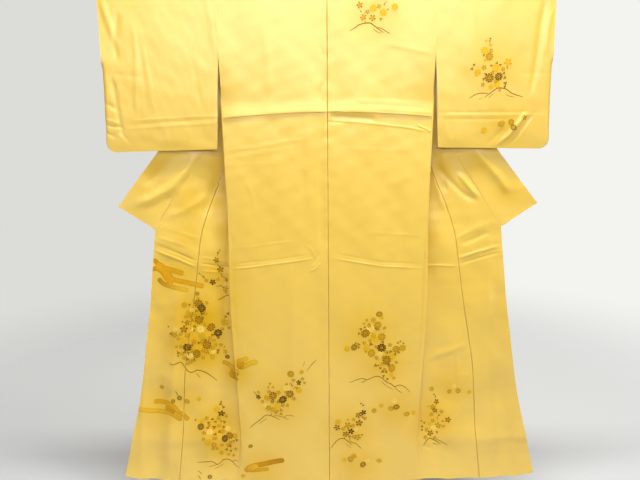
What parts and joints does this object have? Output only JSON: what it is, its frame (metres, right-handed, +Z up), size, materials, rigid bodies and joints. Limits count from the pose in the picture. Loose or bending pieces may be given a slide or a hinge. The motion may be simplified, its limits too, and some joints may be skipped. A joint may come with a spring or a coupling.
{
  "type": "kimono hung on a rod",
  "caption": "Formal silk kimono spread on a straight rod, back to the viewer, sleeves out and both fronts folded outwards behind it.",
  "frame": {"origin": "middle of the rod that holds the kimono, on the rod's centre line, behind the centre back seam", "axes": "+X to the right of someone who looks at the kimono's back, +Y away from them, through the cloth, +Z up"},
  "size_m": [1.46, 0.0521, 1.6527],
  "materials": {
    "yellow_silk": "smooth silk with a soft sheen",
    "rod_wood": "turned, lightly oiled wood"
  },
  "bodies": {
    "root": {"body_left": "yellow_silk", "body_right": "yellow_silk", "okumi_left": "yellow_silk", "okumi_right": "yellow_silk", "sleeve_left": "yellow_silk", "sleeve_right": "yellow_silk", "collar": "yellow_silk", "rod": "rod_wood"}
  },
  "joints": []
}
